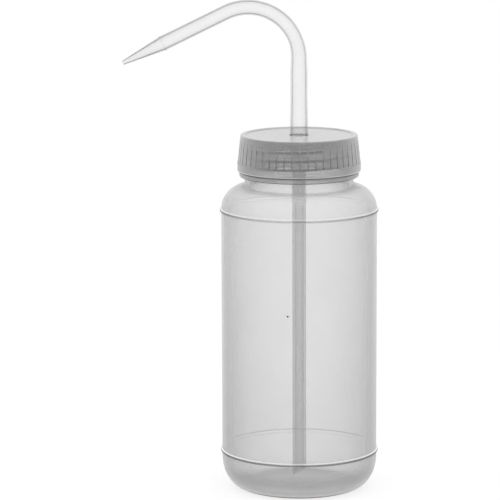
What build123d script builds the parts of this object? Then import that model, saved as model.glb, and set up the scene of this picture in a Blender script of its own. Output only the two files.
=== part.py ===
from build123d import *
import os
from math import atan2, cos, radians, tan

# A squeeze wash bottle: blow-moulded bottle, ribbed screw cap, bent delivery tube with a drawn tip,
# and a straight dip tube that pushes into the delivery tube's lower end.
# Millimetres, Z up. The origin is on the bottle's axis, in the plane that it stands on.
# The spout points along -X.

# Bottle body
body_radius = 37.5
body_wall = 1.1
floor_wall = 1.4
heel_reach = 10.9
heel_height = 15.7
standing_ring_width = 3.5
recess_slope = 2.0
recess_depth = 1.8
shoulder_start = 137.0
shoulder_radius = 11.2

# Moulded ridges round the body
ridge_proud = 0.75
ridge_width = 2.0
lower_ridge_height = 18.5
upper_ridge_drop = 0.6

# Neck
neck_radius = 25.35
neck_wall = 1.65
neck_height = 22.6
neck_lip_chamfer = 0.4
collar_proud = 0.8
collar_height = 8.6
collar_slope = 0.8
collar_foot_chamfer = 0.5

# Screw thread, right-handed, the same pitch on the neck and in the cap
thread_pitch = 4.2
thread_foot = 1.9
thread_crest = 0.9
thread_depth = 1.15
thread_sink = 0.3
thread_fade_angle = 40.0
thread_fade_margin = 0.1
neck_thread_drop = 12.77
neck_thread_angle = 182.0
neck_thread_turns = 2.41
cap_thread_lead = 358.0
cap_thread_turns = 1.5
thread_side_gap = 0.33
thread_crest_gap = 0.4
thread_root_gap = 0.3

# Screw cap
cap_height = 20.2
cap_panel = 1.7
cap_wall = 1.22
cap_rim_width = 2.7
cap_rim_rise = 0.4
cap_rim_slope = 0.5
cap_edge_fillet = 0.6
cap_skirt_lean = 1.35
cap_lip_proud = 0.2
cap_lip_height = 4.0
cap_band_step = 0.9
cap_band_height = 2.9
cap_foot_fillet = 0.8
cap_band_wall = 1.05
cap_flare_height = 4.0
cap_seat_gap = 0.3

# Grip grooves down the cap's skirt
groove_count = 48
groove_radius = 0.32
groove_start = 0.2

# Plug ring that seals in the neck, and the sleeve that holds the delivery tube
plug_gap = 0.25
plug_wall = 0.95
plug_depth = 3.5
sleeve_wall = 1.6
sleeve_depth = 11.0
sleeve_chamfer = 0.25
running_gap = 0.05

# Delivery tube
tube_foot_radius = 4.4
tube_stem_radius = 4.15
tube_bend_radius = 3.9
tube_arm_radius = 3.63
tube_wall = 1.0
drawn_wall = 0.88
tube_drop = 12.5
tube_end_wall = 0.42
tube_end_height = 14.0
tube_end_cone_height = 5.0
foot_above_cap = 7.2
foot_cone_height = 10.0
stem_height = 36.8
stem_cone_height = 7.0
bend_radius = 24.3
bend_angle = 116.0
bend_taper_angle = 20.0
arm_length = 33.4
tip_length = 21.3
tip_radius = 1.02
tip_bore_radius = 0.5
witness_proud = 0.12
witness_width = 0.5
socket_depth = 26.0

# Dip tube
dip_radius = 3.28
dip_bore_radius = 2.2
dip_seat_gap = 1.0
dip_floor_gap = 2.2
dip_cut_angle = 30.0

# Heights that follow from the sizes above
shoulder_top = shoulder_start + shoulder_radius
floor_height = recess_depth + floor_wall
neck_top = shoulder_top + neck_height
cap_ceiling = neck_top + cap_seat_gap
cap_top = cap_ceiling + cap_panel
cap_bottom = cap_top - cap_height
lip_bottom = cap_bottom + cap_band_height
lip_top = lip_bottom + cap_lip_height
tube_bottom = cap_bottom - tube_drop
bend_height = cap_top + stem_height
socket_top = tube_bottom + socket_depth
neck_thread_start = neck_top - neck_thread_drop

# Radii that follow from the fits
collar_radius = neck_radius + collar_proud
neck_bore_radius = neck_radius - neck_wall
neck_crest_radius = neck_radius + thread_depth
cap_root_radius = neck_crest_radius + thread_crest_gap
cap_crest_radius = neck_radius + thread_root_gap
cap_edge_radius = cap_root_radius + cap_wall
cap_skirt_radius = cap_edge_radius + cap_skirt_lean
cap_lip_radius = cap_skirt_radius + cap_lip_proud
cap_band_radius = cap_lip_radius - cap_band_step
cap_mouth_radius = cap_band_radius - cap_band_wall
groove_floor_radius = cap_edge_radius + groove_start
sleeve_bore_radius = tube_foot_radius + running_gap
sleeve_radius = sleeve_bore_radius + sleeve_wall
plug_radius = neck_bore_radius - plug_gap
socket_radius = dip_radius + running_gap
tube_end_radius = socket_radius + tube_end_wall


def turned(*outline):
    """The solid that a closed outline of radii and heights makes when it is turned about the axis."""
    return revolve(make_face(Plane.XZ * (Curve() + list(outline))), Axis.Z)


def turned_polygon(*points):
    return turned(Polyline(*points, close=True))


def ring(outer_radius, inner_radius, bottom, top):
    return turned_polygon(
        (inner_radius, bottom), (outer_radius, bottom), (outer_radius, top), (inner_radius, top)
    )


def disc(radius, bottom, top):
    return turned_polygon((0, bottom), (radius, bottom), (radius, top), (0, top))


def circles_of(solid, radius):
    """The solid's circular edges of one radius about the axis, lowest first."""
    edges = solid.edges().filter_by(GeomType.CIRCLE)
    return edges.filter_by(lambda edge: abs(edge.radius - radius) < 1e-4).sort_by(Axis.Z)


def body_form(inset, floor_inset):
    """The body's outside, or its cavity when it is inset by the wall."""
    radius = body_radius - inset
    ring_radius = body_radius - heel_reach
    corner_shift = floor_inset * tan(atan2(recess_depth, recess_slope) / 2)
    ring_inner = ring_radius - standing_ring_width + corner_shift
    recess_radius = ring_inner - recess_slope
    recess_top = recess_depth + floor_inset
    shoulder = shoulder_radius - inset
    heel = EllipticalCenterArc(
        (ring_radius, heel_height), heel_reach - inset, heel_height - floor_inset, 270, arc_size=90
    )
    side = Line((radius, heel_height), (radius, shoulder_start))
    arc = CenterArc((radius - shoulder, shoulder_start), shoulder, 0, 90)
    inner_side = Polyline(
        (radius - shoulder, shoulder_start + shoulder),
        (0, shoulder_start + shoulder),
        (0, recess_top),
        (recess_radius, recess_top),
        (ring_inner, floor_inset),
        (ring_radius, floor_inset),
    )
    return turned(heel, side, arc, inner_side)


def ridge(height):
    """A low rounded ridge round the body."""
    half = ridge_width / 2
    section = (half * half + ridge_proud * ridge_proud) / (2 * ridge_proud)
    return Pos(0, 0, height) * Torus(body_radius + ridge_proud - section, section)


def ridge_hollow(height):
    """The shallow channel that blow moulding leaves in the wall behind a ridge."""
    cavity_radius = body_radius - body_wall
    half = ridge_width / 2
    return turned_polygon(
        (cavity_radius - half, height - half * 2),
        (cavity_radius + ridge_proud, height - half / 2),
        (cavity_radius + ridge_proud, height + half / 2),
        (cavity_radius - half, height + half * 2),
    )


def thread_ridge(root_radius, crest_radius, angle, height, turns):
    """A tapered ridge along a right-hand helix, that fades into its wall at both ends."""
    outward = 1 if crest_radius > root_radius else -1
    slope = (thread_foot - thread_crest) / 2 / abs(crest_radius - root_radius)
    foot = thread_foot / 2 + slope * thread_sink
    crest = thread_crest / 2
    sink = -outward * thread_sink
    depth = crest_radius - root_radius
    path = Pos(0, 0, height) * Rot(0, 0, angle) * Helix(thread_pitch, thread_pitch * turns, root_radius)
    radial = Vector(1, 0, 0).rotate(Axis.Z, angle)
    section = Plane(origin=path @ 0, x_dir=radial, z_dir=path % 0) * make_face(
        Polyline((sink, -foot), (depth, -crest), (depth, crest), (sink, foot), close=True)
    )
    swept = sweep(section, path=path, is_frenet=True)
    ends = ((angle, height), (angle + 360 * turns, height + thread_pitch * turns))
    for end_angle, end_height in ends:
        swept -= fade_tool(root_radius, crest_radius, end_angle, end_height)
    return swept


def fade_tool(root_radius, crest_radius, angle, height):
    """What is cut from a thread's end: everything past an off-centre cylinder that meets the root
    radius at the thread's end and the crest radius one fade angle further along."""
    outward = 1 if crest_radius > root_radius else -1
    near = root_radius - outward * thread_fade_margin
    far = crest_radius + outward * thread_fade_margin
    offset = (far**2 - near**2) / (2 * (near - far * cos(radians(thread_fade_angle))))
    centre = Vector(-offset, 0, 0).rotate(Axis.Z, angle)
    low = height - thread_pitch / 2
    high = height + thread_pitch / 2
    off_centre = Pos(centre) * disc(near + offset, low, high)
    if outward < 0:
        return off_centre
    return disc(body_radius, low, high) - off_centre


def make_bottle():
    upper_ridge_height = shoulder_start - upper_ridge_drop
    collar_top = shoulder_top + collar_height
    neck = turned_polygon(
        (0, shoulder_start),
        (collar_radius, shoulder_start),
        (collar_radius, collar_top),
        (neck_radius, collar_top + collar_slope),
        (neck_radius, neck_top),
        (0, neck_top),
    )
    outside = body_form(0, 0) + neck
    outside = chamfer(circles_of(outside, collar_radius)[0], collar_foot_chamfer)
    outside = chamfer(circles_of(outside, neck_radius)[-1], neck_lip_chamfer)
    cavity = body_form(body_wall, floor_wall) + disc(neck_bore_radius, shoulder_start, neck_top)
    for height in (lower_ridge_height, upper_ridge_height):
        outside += ridge(height)
        cavity += ridge_hollow(height)
    thread = thread_ridge(
        neck_radius, neck_crest_radius, neck_thread_angle, neck_thread_start, neck_thread_turns
    )
    return outside + thread - cavity


def grip_groove():
    """The cutter of one upright groove: a round floor, open outwards. Its floor is upright and the
    skirt leans in, so the groove runs out towards the top."""
    centre = groove_floor_radius + groove_radius
    opening = cap_lip_radius - centre
    section = Pos(centre, 0) * Circle(groove_radius)
    section += Pos(centre + opening / 2, 0) * Rectangle(opening, 2 * groove_radius)
    return Pos(0, 0, lip_top) * extrude(section, cap_top - lip_top)


def make_screw_cap():
    panel_radius = cap_edge_radius - cap_rim_width
    panel_top = cap_top - cap_rim_rise
    outside = turned_polygon(
        (0, cap_bottom),
        (cap_band_radius, cap_bottom),
        (cap_band_radius, lip_bottom),
        (cap_lip_radius, lip_bottom),
        (cap_lip_radius, lip_top),
        (cap_skirt_radius, lip_top),
        (cap_edge_radius, cap_top),
        (panel_radius + cap_rim_slope, cap_top),
        (panel_radius, panel_top),
        (0, panel_top),
    )
    outside = fillet(circles_of(outside, cap_edge_radius)[-1], cap_edge_fillet)
    outside = fillet(circles_of(outside, cap_band_radius)[0], cap_foot_fillet)
    hollow = turned_polygon(
        (0, cap_bottom),
        (cap_mouth_radius, cap_bottom),
        (cap_mouth_radius, lip_bottom),
        (cap_root_radius, lip_bottom + cap_flare_height),
        (cap_root_radius, cap_ceiling),
        (0, cap_ceiling),
    )
    cap = outside - PolarLocations(0, groove_count) * grip_groove() - hollow
    cap += ring(plug_radius, plug_radius - plug_wall, cap_ceiling - plug_depth, cap_ceiling)
    cap += disc(sleeve_radius, cap_ceiling - sleeve_depth, cap_ceiling)
    cap -= disc(sleeve_bore_radius, cap_bottom, cap_top)
    hole_edge = [edge for edge in circles_of(cap, sleeve_bore_radius) if edge.center().Z > cap_ceiling]
    cap = chamfer(hole_edge, sleeve_chamfer)
    lead = thread_pitch * cap_thread_lead / 360
    flank = (thread_foot - thread_crest) / 2 / thread_depth
    offset = thread_side_gap + (thread_foot + thread_crest) / 2 - flank * thread_root_gap
    return cap + thread_ridge(
        cap_root_radius,
        cap_crest_radius,
        neck_thread_angle + cap_thread_lead,
        neck_thread_start + lead - offset,
        cap_thread_turns,
    )


def bend_arc(start, end):
    """A stretch of the bend's centreline, in degrees from the top of the stem."""
    return Plane.XZ * CenterArc((-bend_radius, bend_height), bend_radius, start, end - start)


def across(path, where):
    """The plane square to a path at its start or end."""
    return Plane(origin=path @ where, z_dir=path % where)


def tube_form(stem_outline, bend_start_radius, arm_radius, end_radius):
    """A round form along the tube's centreline: the turned stem, the bend that narrows over its
    first stretch, the straight arm and the cone. It serves for the outside and for the bore."""
    taper = bend_arc(0, bend_taper_angle)
    bend = bend_arc(bend_taper_angle, bend_angle)
    narrowing = sweep(
        [across(taper, 0) * Circle(bend_start_radius), across(taper, 1) * Circle(arm_radius)],
        path=taper,
        multisection=True,
    )
    crest = sweep(across(bend, 0) * Circle(arm_radius), path=bend)
    arm_start = across(bend, 1)
    arm = extrude(arm_start * Circle(arm_radius), arm_length)
    cone = arm_start.offset(arm_length).location * Cone(
        arm_radius, end_radius, tip_length, align=(Align.CENTER, Align.CENTER, Align.MIN)
    )
    return turned_polygon(*stem_outline) + narrowing + crest + arm + cone


def make_delivery_tube():
    foot_top = cap_top + foot_above_cap
    stem_top = bend_height - stem_cone_height
    outside = tube_form(
        (
            (0, tube_bottom),
            (tube_end_radius, tube_bottom),
            (tube_end_radius, tube_bottom + tube_end_height),
            (tube_foot_radius, tube_bottom + tube_end_height + tube_end_cone_height),
            (tube_foot_radius, foot_top),
            (tube_stem_radius, foot_top + foot_cone_height),
            (tube_stem_radius, stem_top),
            (tube_bend_radius, bend_height),
            (0, bend_height),
        ),
        tube_bend_radius,
        tube_arm_radius,
        tip_radius,
    )
    tip_start = across(bend_arc(bend_taper_angle, bend_angle), 1).offset(arm_length)
    outside += extrude(tip_start * Circle(tube_arm_radius + witness_proud), witness_width / 2, both=True)
    bore = tube_form(
        (
            (0, tube_bottom),
            (socket_radius, tube_bottom),
            (socket_radius, socket_top),
            (tube_stem_radius - tube_wall, socket_top),
            (tube_stem_radius - tube_wall, stem_top),
            (tube_bend_radius - tube_wall, bend_height),
            (0, bend_height),
        ),
        tube_bend_radius - tube_wall,
        tube_arm_radius - drawn_wall,
        tip_bore_radius,
    )
    return outside - bore


def make_dip_tube():
    bottom = floor_height + dip_floor_gap
    top = socket_top - dip_seat_gap
    tube = ring(dip_radius, dip_bore_radius, bottom, top)
    cut = Plane(origin=(-dip_radius, 0, bottom), z_dir=Vector(0, 0, 1).rotate(Axis.Y, -dip_cut_angle))
    return split(tube, bisect_by=cut, keep=Keep.TOP)


os.makedirs("parts", exist_ok=True)
pieces = {
    "bottle": make_bottle(),
    "screw_cap": make_screw_cap(),
    "delivery_tube": make_delivery_tube(),
    "dip_tube": make_dip_tube(),
}
for name, piece in pieces.items():
    export_step(piece, f"parts/{name}.step")
    size = piece.bounding_box()
    print(name, "volume", round(piece.volume, 1), "low", size.min, "high", size.max)
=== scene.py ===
import math

import bmesh
import bpy
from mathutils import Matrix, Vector

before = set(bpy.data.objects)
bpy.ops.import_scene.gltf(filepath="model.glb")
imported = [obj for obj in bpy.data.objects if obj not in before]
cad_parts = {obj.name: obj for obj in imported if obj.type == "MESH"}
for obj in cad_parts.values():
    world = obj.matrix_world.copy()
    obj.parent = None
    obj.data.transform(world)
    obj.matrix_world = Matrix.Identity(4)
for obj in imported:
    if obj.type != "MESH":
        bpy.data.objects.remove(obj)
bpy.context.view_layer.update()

mm = 0.001
scene = bpy.context.scene


def hexColour(code):
    # sRGB hex to the linear values that the shaders want
    parts = [int(code[i:i + 2], 16) / 255 for i in (1, 3, 5)]
    return [p / 12.92 if p <= 0.04045 else ((p + 0.055) / 1.055) ** 2.4 for p in parts] + [1.0]


def addNode(tree, kind, inputs=None, **settings):
    # one node with its settings. An input is a value, a socket, or a node, which gives its first live output.
    # A Mix node takes its factor at 0, two numbers at 2 and 3, and two colours at 6 and 7.
    node = tree.nodes.new("ShaderNode" + kind)
    for key, value in settings.items():
        setattr(node, key, value)
    for key, value in (inputs or {}).items():
        if isinstance(value, bpy.types.Node):
            value = next(socket for socket in value.outputs if socket.enabled)
        if isinstance(value, bpy.types.NodeSocket):
            tree.links.new(value, node.inputs[key])
        else:
            node.inputs[key].default_value = value
    return node


def newMaterial(name):
    material = bpy.data.materials.new(name)
    material.use_nodes = True
    material.node_tree.nodes.clear()
    return material, material.node_tree


def dress(nodeName, *materials):
    # puts the materials in a CAD node's slots, the first one on every face
    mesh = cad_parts[nodeName].data
    mesh.materials.clear()
    for material in materials:
        mesh.materials.append(material)
    return mesh


# The camera stands where the photograph was taken from, a long lens a little above the cap.

photoCamera = {
    "place": (-0.02277, -1.55, 0.3884),
    "downTilt": 9.95,           # degrees below level
    "roll": 0.2,
    "lens": 234.8,
    "sensor": 36.0,
    "farthest": 50,
}

cameraData = bpy.data.cameras.new("photoCamera")
cameraData.lens = photoCamera["lens"]
cameraData.sensor_width = photoCamera["sensor"]
cameraData.clip_end = photoCamera["farthest"]
camera = bpy.data.objects.new("photoCamera", cameraData)
scene.collection.objects.link(camera)
camera.location = photoCamera["place"]
camera.rotation_euler = (math.radians(90 - photoCamera["downTilt"]), math.radians(photoCamera["roll"]), 0)
scene.camera = camera
print("wash bottle: camera set")


# Studio: a white floor, an even sky and one large soft box overhead.

studio = {
    "floorSize": 12.0,
    "floorPaint": "#EDEDED",
    "white": "#FFFFFF",
    "floorGlow": 0.8,           # share of the seen floor that is plain white, the rest holds the shadow
    "shadowReach": (0.3, 0.7),  # the shadow's share fades out between these distances from the bottle
    "whiteLevel": 1.0,          # what the camera and reflections see
    "skyLevel": 0.86,           # what lights the object
    "boxSize": 1.6,
    "boxPlace": (0, -0.1, 1.7),
    "boxPower": 12.0,           # watts
    "seeThroughBounces": 64,    # a ray crosses up to four walls, two tubes and the cap
    "bounces": 16,
    "diffuseBounces": 8,
}


def seenDirectly(tree):
    # 1 for what the eye meets first, also by way of a mirror or through glass
    path = addNode(tree, "LightPath").outputs
    seen = addNode(tree, "Math", {0: path["Is Camera Ray"], 1: path["Is Glossy Ray"]}, operation="MAXIMUM")
    return addNode(tree, "Math", {0: seen, 1: path["Is Transmission Ray"]}, operation="MAXIMUM")


floorMesh = bpy.data.meshes.new("floor")
shape = bmesh.new()
bmesh.ops.create_grid(shape, x_segments=1, y_segments=1, size=studio["floorSize"] / 2)
shape.to_mesh(floorMesh)
shape.free()
floor = bpy.data.objects.new("floor", floorMesh)
scene.collection.objects.link(floor)

# Matt white emulsion: no gloss at all, so the floor vanishes into white round a faint shadow.
floorPaint, tree = newMaterial("mattWhiteEmulsion")
seen = seenDirectly(tree)
tint = addNode(tree, "Mix", {0: seen, 6: hexColour(studio["floorPaint"]), 7: hexColour(studio["white"])},
    data_type="RGBA")
paint = addNode(tree, "BsdfDiffuse", {"Color": tint})
glow = addNode(tree, "Emission", {"Color": hexColour(studio["white"]), "Strength": studio["whiteLevel"]})
fromBottle = addNode(tree, "VectorMath", {0: addNode(tree, "TexCoord").outputs["Object"]}, operation="LENGTH")
share = addNode(tree, "MapRange", {"Value": fromBottle, "From Min": studio["shadowReach"][0],
    "From Max": studio["shadowReach"][1], "To Min": studio["floorGlow"], "To Max": 1.0})
share = addNode(tree, "Math", {0: seen, 1: share}, operation="MULTIPLY")
both = addNode(tree, "MixShader", {0: share, 1: paint, 2: glow})
addNode(tree, "OutputMaterial", {"Surface": both})
floorMesh.materials.append(floorPaint)

sky = bpy.data.worlds.new("sky")
sky.use_nodes = True
sky.node_tree.nodes.clear()
tree = sky.node_tree
level = addNode(tree, "MapRange", {"Value": seenDirectly(tree), "To Min": studio["skyLevel"],
    "To Max": studio["whiteLevel"]})
light = addNode(tree, "Background", {"Color": hexColour(studio["white"]), "Strength": level})
addNode(tree, "OutputWorld", {"Surface": light})
scene.world = sky

boxData = bpy.data.lights.new("softBox", "AREA")
boxData.shape = "SQUARE"
boxData.size = studio["boxSize"]
boxData.energy = studio["boxPower"]
softBox = bpy.data.objects.new("softBox", boxData)
softBox.location = studio["boxPlace"]
scene.collection.objects.link(softBox)

scene.view_settings.view_transform = "Standard"
scene.cycles.transparent_max_bounces = studio["seeThroughBounces"]
scene.cycles.max_bounces = studio["bounces"]
scene.cycles.diffuse_bounces = studio["diffuseBounces"]
print("wash bottle: studio set")


def thinWall(tree, density, leastCosine=0.16, slantPower=1.0):
    # how much of a milky wall's surface hides what is behind it: more where it is seen aslant
    facing = addNode(tree, "LayerWeight", {"Blend": 0.5}).outputs["Facing"]
    cosine = addNode(tree, "Math", {0: 1.0, 1: facing}, operation="SUBTRACT")
    cosine = addNode(tree, "Math", {0: cosine, 1: leastCosine}, operation="MAXIMUM")
    slant = addNode(tree, "Math", {0: cosine, 1: slantPower}, operation="POWER")
    depth = addNode(tree, "Math", {0: density, 1: slant}, operation="DIVIDE")
    through = addNode(tree, "Math", {0: math.exp(-1), 1: depth}, operation="POWER")
    return addNode(tree, "Math", {0: 1.0, 1: through}, operation="SUBTRACT")


def slowDrift(tree, place, patchSize, low, high):
    # soft clouds in the plastic, each about one patch across, between two levels
    cloud = addNode(tree, "TexNoise", {"Vector": place, "Scale": 1 / patchSize, "Detail": 3.0})
    return addNode(tree, "MapRange", {"Value": cloud, "To Min": low, "To Max": high})


def fromAxis(tree, place):
    # distance from the bottle's axis
    flat = addNode(tree, "VectorMath", {0: place, 1: (1, 1, 0)}, operation="MULTIPLY")
    return addNode(tree, "VectorMath", {0: flat}, operation="LENGTH")


# Natural polypropylene, blow-moulded: a milky satin wall that hides more where it is seen aslant,
# so the sides go grey and the middle stays light. It is thickest round the heel.

bottleWall = {
    "ior": 1.49,
    "roughness": 0.36,
    "baseRoughness": 0.16,
    "slantPower": 1.35,
    "leastCosine": 0.3,
    "upperColour": "#CCCCCC",
    "lowerShadedColour": "#C1C1C1",
    "heelShadedColour": "#B0B0B0",
    "underPaintedLight": "#D6D6D6",
    "baseColour": "#C4C4C4",
    "upperDensity": 0.15,
    "lowerDensity": 0.185,
    "heelDensity": 0.42,
    "baseDensity": 0.12,
    "riseBand": (20 * mm, 125 * mm),        # the wall goes from lower to upper between these heights
    "heelBand": (9.5 * mm, 14 * mm),
    "underBand": (2 * mm, 8 * mm),
    "baseRadius": 23.3 * mm,
    "middle": (0, 0, 75 * mm),              # inside the bottle, to tell the near wall from the far one
    "cloudSize": 24 * mm,
    "cloudRange": (0.85, 1.15),
    "outerRadius": 37.3 * mm,               # only the ridges and the outer skin reach past it
    "ridges": ((18.5 * mm, 0.7, 0.22), (136.4 * mm, 0.22, 0.02)),       # height, painted shade density, painted highlight density
    "ridgeLine": 0.36 * mm,
    "ridgeShade": "#505050",
    "ridgeShadeBand": (-0.1, 1.3),          # middle and half width, in lines
    "ridgeLight": "#FAFAFA",
    "ridgeLightBand": (2.0, 0.7),
    "footLine": 1.3 * mm,
    "footShade": "#505050",
    "footDensity": 0.8,
    "threadFoot": 156.9 * mm,
    "threadRadius": 25.55 * mm,
    "crestRadius": 26.25 * mm,
    "crestShade": "#3E3E3E",
    "crestDensity": 2.2,
    "flankSlope": 0.3,
    "flankLight": "#FAFAFA",
    "flankDensity": 0.3,
    "speckPlace": (-6.0 * mm, -37.0 * mm, 90.9 * mm),
    "speckSize": 0.35 * mm,
    "speckFade": 1.6,
    "speckColour": "#141414",
    "grainSize": 0.9 * mm,                  # drawn coarser than the mould's blast finish, so that it shows
    "grainDepth": 0.05 * mm,
    "grainStrength": 0.15,
}

blownPolypropylene, tree = newMaterial("blownPolypropylene")
place = addNode(tree, "TexCoord").outputs["Object"]
height = addNode(tree, "SeparateXYZ", {0: place}).outputs["Z"]
radius = fromAxis(tree, place)
geometry = addNode(tree, "NewGeometry").outputs
slope = addNode(tree, "SeparateXYZ", {0: geometry["Normal"]}).outputs["Z"]

# The thick heel counts on the side toward the eye only, so the far side doesn't double it.
rise = addNode(tree, "MapRange", {"Value": height, "From Min": bottleWall["riseBand"][0],
    "From Max": bottleWall["riseBand"][1]})
heel = addNode(tree, "MapRange", {"Value": height, "From Min": bottleWall["heelBand"][0],
    "From Max": bottleWall["heelBand"][1], "To Min": 1.0, "To Max": 0.0}, interpolation_type="SMOOTHSTEP")
fromMiddle = addNode(tree, "VectorMath", {0: place, 1: bottleWall["middle"]}, operation="SUBTRACT")
frontSide = addNode(tree, "VectorMath", {0: fromMiddle, 1: geometry["Normal"]}, operation="DOT_PRODUCT")
frontSide = addNode(tree, "Math", {0: frontSide, 1: 0.0}, operation="GREATER_THAN")
heel = addNode(tree, "Math", {0: heel, 1: frontSide}, operation="MULTIPLY")
base = addNode(tree, "Math", {0: radius, 1: bottleWall["baseRadius"]}, operation="LESS_THAN")
base = addNode(tree, "Math", {0: base, 1: heel}, operation="MULTIPLY")

wall = addNode(tree, "MapRange", {"Value": rise, "To Min": bottleWall["lowerDensity"],
    "To Max": bottleWall["upperDensity"]})
wall = addNode(tree, "Mix", {0: heel, 2: wall, 3: bottleWall["heelDensity"]})
wall = addNode(tree, "Mix", {0: base, 2: wall, 3: bottleWall["baseDensity"]})
drift = slowDrift(tree, place, bottleWall["cloudSize"], *bottleWall["cloudRange"])
wall = addNode(tree, "Math", {0: wall, 1: drift}, operation="MULTIPLY")

# The heel is painted a darker grey, partly for its thicker plastic and partly as painted shade; toward the
# floor it is painted lighter again, painted light that lifts the shade under it.
under = addNode(tree, "MapRange", {"Value": height, "From Min": bottleWall["underBand"][0],
    "From Max": bottleWall["underBand"][1], "To Min": 1.0, "To Max": 0.0})
heelTint = addNode(tree, "Mix", {0: under, 6: hexColour(bottleWall["heelShadedColour"]),
    7: hexColour(bottleWall["underPaintedLight"])}, data_type="RGBA")
# The lower wall is painted a greyer tint than the upper one: painted shade toward the bottom.
colour = addNode(tree, "Mix", {0: rise, 6: hexColour(bottleWall["lowerShadedColour"]),
    7: hexColour(bottleWall["upperColour"])}, data_type="RGBA")
colour = addNode(tree, "Mix", {0: heel, 6: colour, 7: heelTint}, data_type="RGBA")
colour = addNode(tree, "Mix", {0: base, 6: colour, 7: hexColour(bottleWall["baseColour"])}, data_type="RGBA")

# Fine lines of painted shade and painted highlight: each has a mask, where it holds, a tint and some added
# density.
# They blur away behind the milky wall, so they show on the near side only.
near = addNode(tree, "Math", {0: 1.0, 1: geometry["Backfacing"]}, operation="SUBTRACT")
outer = addNode(tree, "Math", {0: radius, 1: bottleWall["outerRadius"]}, operation="GREATER_THAN")
threaded = addNode(tree, "Math", {0: height, 1: bottleWall["threadFoot"]}, operation="GREATER_THAN")
crest = addNode(tree, "Math", {0: radius, 1: bottleWall["crestRadius"]}, operation="GREATER_THAN")
thread = addNode(tree, "Math", {0: radius, 1: bottleWall["threadRadius"]}, operation="GREATER_THAN")
upward = addNode(tree, "Math", {0: slope, 1: bottleWall["flankSlope"]}, operation="GREATER_THAN")
flank = addNode(tree, "Math", {0: thread, 1: upward}, operation="MULTIPLY")
low = addNode(tree, "Math", {0: height, 1: bottleWall["footLine"]}, operation="LESS_THAN")
shell = addNode(tree, "Math", {0: 1.0, 1: base}, operation="SUBTRACT")
lines = [
    (crest, threaded, bottleWall["crestShade"], bottleWall["crestDensity"]),    # painted shade on the thread crests, dark through the cap
    (flank, threaded, bottleWall["flankLight"], bottleWall["flankDensity"]),    # painted highlight on the thread's top
    (low, shell, bottleWall["footShade"], bottleWall["footDensity"]),           # painted shade along the edge it stands on
]
# Each ridge gets a painted highlight along its top and painted shade beneath it.
for ridgeHeight, shadeDensity, lightDensity in bottleWall["ridges"]:
    for part, extra in (("ridgeLight", lightDensity), ("ridgeShade", shadeDensity)):
        middle, reach = (lineWidths * bottleWall["ridgeLine"] for lineWidths in bottleWall[part + "Band"])
        band = addNode(tree, "Math", {0: height, 1: ridgeHeight + middle, 2: reach}, operation="COMPARE")
        lines.append((band, outer, bottleWall[part], extra))
for mask, where, tint, extra in lines:
    mask = addNode(tree, "Math", {0: mask, 1: where}, operation="MULTIPLY")
    mask = addNode(tree, "Math", {0: mask, 1: near}, operation="MULTIPLY")
    colour = addNode(tree, "Mix", {0: mask, 6: colour, 7: hexColour(tint)}, data_type="RGBA")
    wall = addNode(tree, "Math", {0: mask, 1: extra, 2: wall}, operation="MULTIPLY_ADD")
alpha = thinWall(tree, wall, bottleWall["leastCosine"], bottleWall["slantPower"])

# One dark speck is set in the front wall.
fromSpeck = addNode(tree, "VectorMath", {0: place, 1: bottleWall["speckPlace"]}, operation="DISTANCE")
speck = addNode(tree, "MapRange", {"Value": fromSpeck, "From Min": bottleWall["speckSize"],
    "From Max": bottleWall["speckSize"] * bottleWall["speckFade"], "To Min": 1.0, "To Max": 0.0})
colour = addNode(tree, "Mix", {0: speck, 6: colour, 7: hexColour(bottleWall["speckColour"])},
    data_type="RGBA")
alpha = addNode(tree, "Math", {0: alpha, 1: speck}, operation="MAXIMUM")

grain = addNode(tree, "TexNoise", {"Vector": place, "Scale": 1 / bottleWall["grainSize"], "Detail": 2.0})
bump = addNode(tree, "Bump", {"Strength": bottleWall["grainStrength"], "Distance": bottleWall["grainDepth"],
    "Height": grain})
gloss = addNode(tree, "MapRange", {"Value": base, "To Min": bottleWall["roughness"],
    "To Max": bottleWall["baseRoughness"]})
skin = addNode(tree, "BsdfPrincipled", {"Base Color": colour, "Roughness": gloss, "IOR": bottleWall["ior"],
    "Alpha": alpha, "Normal": bump})
addNode(tree, "OutputMaterial", {"Surface": skin})
dress("bottle", blownPolypropylene)
print("wash bottle: bottle dressed")


# Natural polypropylene, injection-moulded: thicker than the bottle, so it is greyer and hides more.
# The skirt is satin, and the panel takes a soft reflection of the stem from the polished tool.

cap = {
    "ior": 1.49,
    "roughness": 0.3,
    "panelRoughness": 0.16,
    "panelHeight": 171.8 * mm,
    "panelStep": 1 * mm,
    "skinColour": "#A6A6A6",
    "skinDensity": 0.5,
    "slantPower": 2.0,
    "leastCosine": 0.1,
    "flowSize": 9 * mm,
    "flowRange": (0.9, 1.1),
    "groovePaintedHighlight": "#F2F2F2",
    "grooveThinning": 0.5,
    "grooveFront": (17 * mm, 21 * mm),      # nearer the middle than this the grooves stay darker
    "grooveMiddleShare": 0.35,
    "skirtTop": (172.2 * mm, 28.0 * mm),    # height, and the radius that only the grooves are inside
    "skirtFoot": (159.5 * mm, 29.35 * mm),
    "lipFoot": 155.5 * mm,
    "lipLightAndShadeLines": (                           # height over the lip's foot, half width, tint, density
        (0.25 * mm, 0.22 * mm, "#CCCCCC", 0.3),
        (-0.35 * mm, 0.4 * mm, "#606060", 0.8),
        (-2.7 * mm, 0.25 * mm, "#606060", 0.5),
    ),
    "insideRoughness": 0.4,
    "insideShadedColour": "#8A8A8A",
    "insideDensity": 0.3,
    "insideFlowSize": 7 * mm,
    "insideFlowRange": (0.85, 1.15),
    "insideRadius": 28.0 * mm,
    "ceiling": 171.2 * mm,
    "sleeveRadius": 9.5 * mm,
    "sleevePaintedLight": "#C8C8C8",
    "sleeveDensity": 0.03,
    "levelFace": 0.9,                       # a face whose normal rises more than this lies level
}

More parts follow.
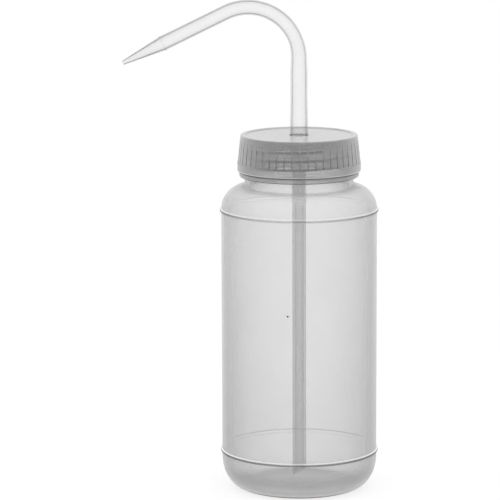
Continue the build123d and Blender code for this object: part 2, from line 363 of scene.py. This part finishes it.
mouldedSkin, tree = newMaterial("mouldedPolypropyleneSkin")
place = addNode(tree, "TexCoord").outputs["Object"]
parts = addNode(tree, "SeparateXYZ", {0: place}).outputs
height = parts["Z"]
radius = fromAxis(tree, place)
lowFlow, highFlow = (cap["skinDensity"] * share for share in cap["flowRange"])
density = slowDrift(tree, place, cap["flowSize"], lowFlow, highFlow)

# The grip grooves turn light toward the sides, where the photograph shows pale streaks.
# The pale streaks are painted highlights, laid on the cap's own left and right, so they turn with the cap.
(footHeight, footRadius), (topHeight, topRadius) = cap["skirtFoot"], cap["skirtTop"]
bound = addNode(tree, "MapRange", {"Value": height, "From Min": footHeight, "From Max": topHeight,
    "To Min": footRadius, "To Max": topRadius})
groove = addNode(tree, "Math", {0: radius, 1: bound}, operation="LESS_THAN")
onSkirt = addNode(tree, "Math", {0: height, 1: (footHeight + topHeight) / 2, 2: (topHeight - footHeight) / 2},
    operation="COMPARE")
groove = addNode(tree, "Math", {0: groove, 1: onSkirt}, operation="MULTIPLY")
aside = addNode(tree, "Math", {0: parts["X"]}, operation="ABSOLUTE")
aside = addNode(tree, "MapRange", {"Value": aside, "From Min": cap["grooveFront"][0],
    "From Max": cap["grooveFront"][1], "To Min": cap["grooveMiddleShare"]})
groove = addNode(tree, "Math", {0: groove, 1: aside}, operation="MULTIPLY")
colour = addNode(tree, "Mix", {0: groove, 6: hexColour(cap["skinColour"]),
    7: hexColour(cap["groovePaintedHighlight"])}, data_type="RGBA")
kept = addNode(tree, "Math", {0: groove, 1: -cap["grooveThinning"], 2: 1.0}, operation="MULTIPLY_ADD")
density = addNode(tree, "Math", {0: density, 1: kept}, operation="MULTIPLY")
# The lip carries a painted highlight along its lower edge and two lines of painted shade below it.
for middle, reach, tint, extra in cap["lipLightAndShadeLines"]:
    band = addNode(tree, "Math", {0: height, 1: cap["lipFoot"] + middle, 2: reach}, operation="COMPARE")
    colour = addNode(tree, "Mix", {0: band, 6: colour, 7: hexColour(tint)}, data_type="RGBA")
    density = addNode(tree, "Math", {0: band, 1: extra, 2: density}, operation="MULTIPLY_ADD")
alpha = thinWall(tree, density, cap["leastCosine"], cap["slantPower"])
gloss = addNode(tree, "MapRange", {"Value": height, "From Min": cap["panelHeight"] - cap["panelStep"],
    "From Max": cap["panelHeight"], "To Min": cap["roughness"], "To Max": cap["panelRoughness"]})
skin = addNode(tree, "BsdfPrincipled", {"Base Color": colour, "Roughness": gloss, "IOR": cap["ior"],
    "Alpha": alpha})
addNode(tree, "OutputMaterial", {"Surface": skin})

# The same plastic inside the cap: duller, and painted darker as painted shade; clear round the sleeve, and
# painted pale there as painted light, where light comes down beside the tube.
mouldedInside, tree = newMaterial("mouldedPolypropyleneInside")
place = addNode(tree, "TexCoord").outputs["Object"]
sleeve = addNode(tree, "Math", {0: fromAxis(tree, place), 1: cap["sleeveRadius"]}, operation="LESS_THAN")
colour = addNode(tree, "Mix", {0: sleeve, 6: hexColour(cap["insideShadedColour"]),
    7: hexColour(cap["sleevePaintedLight"])}, data_type="RGBA")
density = addNode(tree, "Mix", {0: sleeve, 2: cap["insideDensity"], 3: cap["sleeveDensity"]})
flow = slowDrift(tree, place, cap["insideFlowSize"], *cap["insideFlowRange"])
density = addNode(tree, "Math", {0: density, 1: flow}, operation="MULTIPLY")
skin = addNode(tree, "BsdfPrincipled", {"Base Color": colour, "Roughness": cap["insideRoughness"],
    "IOR": cap["ior"], "Alpha": thinWall(tree, density)})
addNode(tree, "OutputMaterial", {"Surface": skin})

for face in dress("screw_cap", mouldedSkin, mouldedInside).polygons:
    reach = math.hypot(face.center.x, face.center.y)
    inSleeve = reach < cap["sleeveRadius"] and face.normal.z < cap["levelFace"]
    inHollow = reach < cap["insideRadius"] and face.center.z < cap["ceiling"]
    face.material_index = int(inHollow or inSleeve)
print("wash bottle: cap dressed")


# Low-density polyethylene, extruded, then bent and drawn: clearer and glossier than the bottle.
# The wall bends the light, so a fine dark line runs just inside each edge and the core stays pale; the line
# is painted shade, laid by how aslant the skin is seen.

tubes = {
    "ior": 1.5,
    "roughness": 0.25,
    "skinColour": "#7C7C7C",
    "skinAlphas": (             # how aslant the skin is seen, and how much its painted shade hides there
        (0.0, 0.045), (0.22, 0.07), (0.29, 0.12), (0.36, 0.30), (0.40, 0.34),
        (0.45, 0.28), (0.54, 0.14), (0.72, 0.12), (1.0, 0.25),
    ),
    "skinCloudSize": 6 * mm,
    "skinCloudRange": (0.8, 1.2),
    "tipBand": (-84 * mm, -62 * mm),
    "tipGain": 1.8,             # the drawn tip is denser
    # the stem is painted darker near the cap: painted shade
    "footBand": (172.5 * mm, 181 * mm),
    "footShadeGain": 1.3,
    "coveredBand": (170 * mm, 172.5 * mm),
    "coveredGain": 0.35,        # inside the cap the edges fade
    "topSlope": 0.3,
    "topShadeGain": 2.5,             # faces that look up carry the darker line: painted shade along the tube's top
    "witnessPlace": (-65.0 * mm, 0, 216.8 * mm),
    "witnessReach": 0.3 * mm,
    "witnessAlpha": 0.06,
    "boreColour": "#8A8A8A",
    "boreDensity": 0.035,
    "boreCloudSize": 5 * mm,
    "boreCloudRange": (0.8, 1.2),
    "boreLeastCosine": 0.06,
    "boreSlantPower": 1.1,
    "sunkPaintedLight": "#F4F4F4",    # painted light on the stretch inside the cap, which the cap lights through
    "sunkDensity": 1.0,
    "sunkBand": (172.0 * mm, 172.6 * mm),
    "dipColour": "#A2A2A2",
    "dipDensity": 0.2,
    "dipLineWidth": 1.5 * mm,   # wider than real die lines, so that they show
    "dipLineStretch": 0.05,
    "dipLineRange": (0.85, 1.15),
    "bendHeight": 209.6 * mm,
    "bendRadius": 24.3 * mm,
    "bendAngle": 116,
}
lastTurn = math.radians(tubes["bendAngle"])
armLine = Vector((-math.sin(lastTurn), 0, math.cos(lastTurn)))      # the way the arm runs, toward the tip

extrudedSkin, tree = newMaterial("extrudedPolyethyleneSkin")
place = addNode(tree, "TexCoord").outputs["Object"]
parts = addNode(tree, "SeparateXYZ", {0: place}).outputs
normal = addNode(tree, "NewGeometry").outputs["Normal"]
upward = addNode(tree, "SeparateXYZ", {0: normal}).outputs["Z"]
ramp = addNode(tree, "ValToRGB", {"Fac": addNode(tree, "LayerWeight", {"Blend": 0.5}).outputs["Facing"]})
stops = ramp.color_ramp.elements
while len(stops) < len(tubes["skinAlphas"]):
    stops.new(0.5)
for stop, (position, level) in zip(stops, tubes["skinAlphas"]):
    stop.position = position
    stop.color = (level, level, level, 1)
drift = slowDrift(tree, place, tubes["skinCloudSize"], *tubes["skinCloudRange"])
alpha = addNode(tree, "Math", {0: ramp, 1: drift}, operation="MULTIPLY")
gains = (                       # what is measured, between which values, and the gain at each end
    (parts["X"], *tubes["tipBand"], tubes["tipGain"], 1.0),
    (parts["Z"], *tubes["footBand"], tubes["footShadeGain"], 1.0),
    (parts["Z"], *tubes["coveredBand"], tubes["coveredGain"], 1.0),
    (upward, tubes["topSlope"], 1.0, 1.0, tubes["topShadeGain"]),
)
for measure, start, end, startGain, endGain in gains:
    gain = addNode(tree, "MapRange", {"Value": measure, "From Min": start, "From Max": end,
        "To Min": startGain, "To Max": endGain})
    alpha = addNode(tree, "Math", {0: alpha, 1: gain}, operation="MULTIPLY")

# The ring where the cone starts shows as one thin line across the arm.
witnessAlong = armLine.dot(Vector(tubes["witnessPlace"]))
along = addNode(tree, "VectorMath", {0: place, 1: armLine}, operation="DOT_PRODUCT")
witness = addNode(tree, "Math", {0: along, 1: witnessAlong, 2: tubes["witnessReach"]}, operation="COMPARE")
alpha = addNode(tree, "Math", {0: witness, 1: tubes["witnessAlpha"], 2: alpha}, operation="MULTIPLY_ADD",
    use_clamp=True)
skin = addNode(tree, "BsdfPrincipled", {"Base Color": hexColour(tubes["skinColour"]),
    "Roughness": tubes["roughness"], "IOR": tubes["ior"], "Alpha": alpha})
addNode(tree, "OutputMaterial", {"Surface": skin})

# The bore of the same tube: almost clear, and painted pale where the cap lights it from outside, as painted
# light.
extrudedBore, tree = newMaterial("extrudedPolyethyleneBore")
place = addNode(tree, "TexCoord").outputs["Object"]
height = addNode(tree, "SeparateXYZ", {0: place}).outputs["Z"]
lowDensity, highDensity = (tubes["boreDensity"] * share for share in tubes["boreCloudRange"])
density = slowDrift(tree, place, tubes["boreCloudSize"], lowDensity, highDensity)
sunk = addNode(tree, "MapRange", {"Value": height, "From Min": tubes["sunkBand"][0],
    "From Max": tubes["sunkBand"][1], "To Min": 1.0, "To Max": 0.0})
density = addNode(tree, "Math", {0: sunk, 1: tubes["sunkDensity"], 2: density}, operation="MULTIPLY_ADD")
colour = addNode(tree, "Mix", {0: sunk, 6: hexColour(tubes["boreColour"]),
    7: hexColour(tubes["sunkPaintedLight"])}, data_type="RGBA")
alpha = thinWall(tree, density, tubes["boreLeastCosine"], tubes["boreSlantPower"])
skin = addNode(tree, "BsdfPrincipled", {"Base Color": colour, "Roughness": tubes["roughness"],
    "IOR": tubes["ior"], "Alpha": alpha})
addNode(tree, "OutputMaterial", {"Surface": skin})

# The dip tube is the same polyethylene, thinner and milkier, with faint die lines down its length.
extrudedDip, tree = newMaterial("extrudedPolyethyleneDip")
place = addNode(tree, "TexCoord").outputs["Object"]
dieLines = addNode(tree, "VectorMath", {0: place, 1: (1, 1, tubes["dipLineStretch"])}, operation="MULTIPLY")
lowDensity, highDensity = (tubes["dipDensity"] * share for share in tubes["dipLineRange"])
density = slowDrift(tree, dieLines, tubes["dipLineWidth"], lowDensity, highDensity)
skin = addNode(tree, "BsdfPrincipled", {"Base Color": hexColour(tubes["dipColour"]),
    "Roughness": tubes["roughness"], "IOR": tubes["ior"], "Alpha": thinWall(tree, density)})
addNode(tree, "OutputMaterial", {"Surface": skin})


def nearestOnRoute(point):
    # the delivery tube's centre line: up the stem, round the bend, down the arm
    if point.z < tubes["bendHeight"] and point.x > -tubes["bendRadius"]:
        return Vector((0, 0, point.z))
    pivot = Vector((-tubes["bendRadius"], 0, tubes["bendHeight"]))
    reach = point - pivot
    turn = math.atan2(reach.z, reach.x)
    if 0 <= turn <= lastTurn:
        return pivot + Vector((math.cos(turn), 0, math.sin(turn))) * tubes["bendRadius"]
    armStart = pivot + Vector((math.cos(lastTurn), 0, math.sin(lastTurn))) * tubes["bendRadius"]
    return armStart + armLine * max(0.0, (point - armStart).dot(armLine))


dress("dip_tube", extrudedDip)
for face in dress("delivery_tube", extrudedSkin, extrudedBore).polygons:
    inward = face.normal.dot(face.center - nearestOnRoute(face.center)) < 0
    face.material_index = int(inward)
print("wash bottle: tubes dressed")
